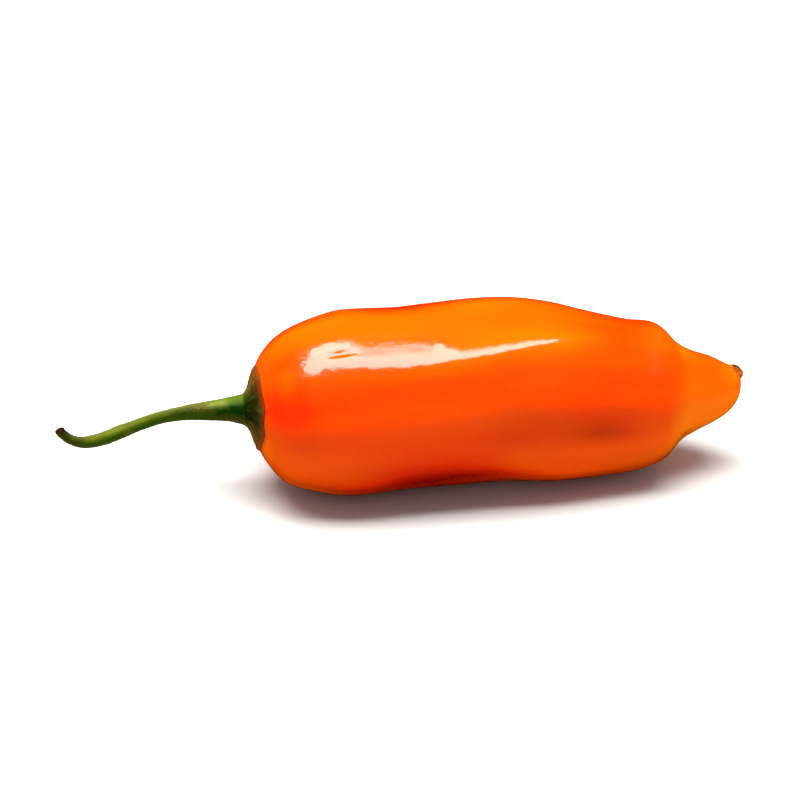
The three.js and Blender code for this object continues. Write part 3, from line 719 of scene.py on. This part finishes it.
    # specks of cork 0.5 mm across, thick on the marks and thin elsewhere
    specks = addNode(tree, "ShaderNodeTexNoise", {"Scale": 1900, "Detail": 2}, {"Vector": place})
    speckSum = addNode(tree, "ShaderNodeMath", {"operation": "MULTIPLY_ADD", 1: 0.4},
                       {0: facts["cork"], 2: specks.outputs["Fac"]})
    speckShare = addNode(tree, "ShaderNodeMapRange",
                         {"From Min": 0.66, "From Max": 0.95, "To Max": 0.8},
                         {"Value": speckSum.outputs[0]})
    corky = addNode(tree, "ShaderNodeMix", {"data_type": "RGBA", 7: fromHex("#5c5220")},
                    {0: speckShare.outputs[0], 6: streaked.outputs[2]})
    # the cut, dried to a dark brown
    cutShare = addNode(tree, "ShaderNodeMapRange", {"From Min": 0.738, "From Max": 0.755},
                       {"Value": where.outputs[0]})
    cutTone = addNode(tree, "ShaderNodeMix",
                      {"data_type": "RGBA", 6: fromHex("#1c0802"), 7: fromHex("#2e1608")},
                      {0: specks.outputs["Fac"]})
    color = addNode(tree, "ShaderNodeMix", {"data_type": "RGBA"},
                    {0: cutShare.outputs[0], 6: corky.outputs[2], 7: cutTone.outputs[2]})

    bumps = addNode(tree, "ShaderNodeMath", {"operation": "ADD"},
                    {0: streaks.outputs["Fac"], 1: specks.outputs["Fac"]})
    bump = addNode(tree, "ShaderNodeBump", {"Strength": 0.35, "Distance": 0.0002},
                   {"Height": bumps.outputs[0]})
    rough = addNode(tree, "ShaderNodeMapRange", {"To Min": 0.28, "To Max": 0.45},
                    {"Value": streaks.outputs["Fac"]})
    bark = addNode(tree, "ShaderNodeBsdfPrincipled", {"IOR": 1.45, "Specular IOR Level": 0.03},
                   {"Base Color": color.outputs[2], "Roughness": rough.outputs[0],
                    "Normal": bump.outputs[0]})
    addNode(tree, "ShaderNodeOutputMaterial", links={"Surface": bark.outputs[0]})
    return material


stalkPiece = buildStalk()
stalkPiece.data.materials.append(stalkBark())
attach(stalkPiece, "root")
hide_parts("stalk")
print("stalk made:", len(stalkPiece.data.polygons), "faces")


scar = {
    "middle": (66.15, -1.6, 22.55),  # where the profile's rise is 0
    "lean": (0.52, -0.3, 0.8),  # the way that it points
    "widthToHeight": 0.85,
    # from inside the tip out to the middle of its end: how far out, and the radius
    "profile": [
        (-2.2, 0.6), (-2.2, 1.3), (-1.4, 1.95), (-0.4, 2.2), (0.3, 2.2), (0.85, 2.1), (1.25, 1.9),
        (1.5, 1.6), (1.54, 1.3), (1.46, 1.0), (1.4, 0.7), (1.36, 0.4), (1.36, 0.14),
    ],
    "rings": 90,
    "sides": 96,
    # ragged relief: its height, rows of weight, wave length and seed, and the shares of the way
    # along at which it starts and is full
    "raggedness": 0.09,
    "raggedWaves": [(1, 1.3, 31), (0.5, 0.6, 32)],
    "raggedFrom": (0.2, 0.5),
    "edgeTurn": 1.4,  # radians round it to the middle of its dark edge, close to its back
}


def buildScar():
    # Rings round a leaning line, with their radius and place from the profile, a little narrower
    # from front to back. Ragged waves lift the skin.
    lean = np.array(scar["lean"]) / np.linalg.norm(scar["lean"])
    along = np.cross((0, 1, 0), lean)
    along /= np.linalg.norm(along)
    back = np.cross(lean, along)
    turn = np.arange(scar["sides"])[None, :] * 2 * math.pi / scar["sides"]
    place = np.linspace(0, 1, scar["rings"])
    rise, radius = throughRows(scar["profile"], place).T
    radius = radius[:, None] * (1 - (1 - scar["widthToHeight"]) * np.sin(turn) ** 2)
    points = (
        np.array(scar["middle"])
        + lean * rise[:, None, None]
        + along * (radius * np.cos(turn))[..., None]
        + back * (radius * np.sin(turn))[..., None]
    )
    ragged = waveSum(points, scar["raggedWaves"]) * smoothStep(place, *scar["raggedFrom"])[:, None]
    points = points + gridNormals(points) * (scar["raggedness"] * ragged)[..., None]
    values = {
        "dry": place[:, None] + 0 * turn,
        "outer": np.cos(turn - scar["edgeTurn"]) + 0 * place[:, None],
    }
    return closedTube("tipScar", points, points[0].mean(axis=0), points[-1].mean(axis=0), values)


def driedScar():
    # Dried plant scar, left where the flower fell: dull brownish orange, fading to the orange of
    # the fruit at its foot, with a dark olive edge at its back.
    material, tree = newMaterial("driedFlowerScar")
    place = addNode(tree, "ShaderNodeTexCoord").outputs["Object"]
    dry = addNode(tree, "ShaderNodeAttribute", {"attribute_name": "dry"}).outputs["Fac"]
    outer = addNode(tree, "ShaderNodeAttribute", {"attribute_name": "outer"}).outputs["Fac"]
    # grains 0.45 mm across roughen it and break up the bounds of its tones
    grains = addNode(tree, "ShaderNodeTexNoise", {"Scale": 2200, "Detail": 3}, {"Vector": place})
    shift = addNode(tree, "ShaderNodeMapRange", {"To Min": -0.08, "To Max": 0.08},
                    {"Value": grains.outputs["Fac"]})
    where = addNode(tree, "ShaderNodeMath", {"operation": "ADD"}, {0: dry, 1: shift.outputs[0]})
    dull = addNode(tree, "ShaderNodeValToRGB", links={0: where.outputs[0]}, stops=[
        (0.25, "#d85804"), (0.4, "#c85406"), (0.56, "#b04e06"), (0.68, "#944204"), (1.0, "#8a3e04")])
    edge = addNode(tree, "ShaderNodeValToRGB", links={0: where.outputs[0]}, stops=[
        (0.36, 0.0), (0.46, 1.0), (0.72, 1.0), (0.82, 0.0)])
    side = addNode(tree, "ShaderNodeMapRange", {"From Min": 0.0, "From Max": 0.6}, {"Value": outer})
    edgeShare = addNode(tree, "ShaderNodeMath", {"operation": "MULTIPLY"},
                        {0: edge.outputs["Color"], 1: side.outputs[0]})
    color = addNode(tree, "ShaderNodeMix", {"data_type": "RGBA", 7: fromHex("#3a3208")},
                    {0: edgeShare.outputs[0], 6: dull.outputs["Color"]})
    bump = addNode(tree, "ShaderNodeBump", {"Strength": 0.6, "Distance": 0.0002},
                   {"Height": grains.outputs["Fac"]})
    cork = addNode(tree, "ShaderNodeBsdfPrincipled",
                   {"IOR": 1.45, "Roughness": 0.6, "Specular IOR Level": 0.05},
                   {"Base Color": color.outputs[2], "Normal": bump.outputs[0]})
    addNode(tree, "ShaderNodeOutputMaterial", links={"Surface": cork.outputs[0]})
    return material


scarPiece = buildScar()
scarPiece.data.materials.append(driedScar())
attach(scarPiece, "root")
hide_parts("tip_nib")
print("scar made:", len(scarPiece.data.polygons), "faces")


studio = {
    "floorSize": 6.0,  # metres
    "worldStrength": 0.45,
    "floorColor": "#c6c6c3",
    # three level softboxes side by side over the object: place, turn in degrees, size and watts
    "softboxes": {
        "frontSoftbox": {"at": (-0.077, -0.0503, 1.65), "turn": -7.5, "size": (1.76, 0.72), "watts": 64},
        "backSoftbox": {"at": (-0.367, 0.583, 1.65), "turn": -7.5, "size": (0.72, 0.46), "watts": 17},
        "weakSoftbox": {"at": (0.174, 0.441, 1.65), "turn": -7.5, "size": (0.39, 0.32), "watts": 3.5},
    },
}


def paperFloor():
    # Matte white card: pale, without gloss, with a faint tooth about 1 mm across.
    material, tree = newMaterial("matteWhiteCard")
    place = addNode(tree, "ShaderNodeTexCoord").outputs["Object"]
    tooth = addNode(tree, "ShaderNodeTexNoise", {"Scale": 900, "Detail": 2}, {"Vector": place})
    bump = addNode(tree, "ShaderNodeBump", {"Strength": 0.05, "Distance": 0.0002},
                   {"Height": tooth.outputs["Fac"]})
    card = addNode(tree, "ShaderNodeBsdfPrincipled",
                   {"Base Color": fromHex(studio["floorColor"]), "Roughness": 0.9,
                    "Specular IOR Level": 0.1},
                   {"Normal": bump.outputs[0]})
    addNode(tree, "ShaderNodeOutputMaterial", links={"Surface": card.outputs[0]})
    return material


def addFloor():
    bpy.ops.mesh.primitive_plane_add(size=studio["floorSize"])
    floor = bpy.context.object
    floor.name = "floor"
    floor.data.materials.append(paperFloor())
    floor.visible_glossy = False  # keeps the pale floor out of the skin's reflections


def addSoftbox(name, setup):
    data = bpy.data.lights.new(name, "AREA")
    data.shape = "RECTANGLE"
    data.size, data.size_y = setup["size"]
    data.energy = setup["watts"]
    light = bpy.data.objects.new(name, data)
    bpy.context.scene.collection.objects.link(light)
    light.location = setup["at"]
    light.rotation_euler = (0, 0, math.radians(setup["turn"]))


def addWorld():
    world = bpy.data.worlds.new("studio")
    world.use_nodes = True
    tree = world.node_tree
    tree.nodes.clear()
    light = addNode(tree, "ShaderNodeBackground",
                    {"Color": (1, 1, 1, 1), "Strength": studio["worldStrength"]})
    addNode(tree, "ShaderNodeOutputWorld", links={"Surface": light.outputs[0]})
    world.cycles_visibility.glossy = False  # only the softboxes show in the gloss
    bpy.context.scene.world = world


addFloor()
for name, setup in studio["softboxes"].items():
    addSoftbox(name, setup)
addWorld()
bpy.context.scene.view_settings.view_transform = "Standard"
print("studio lit")
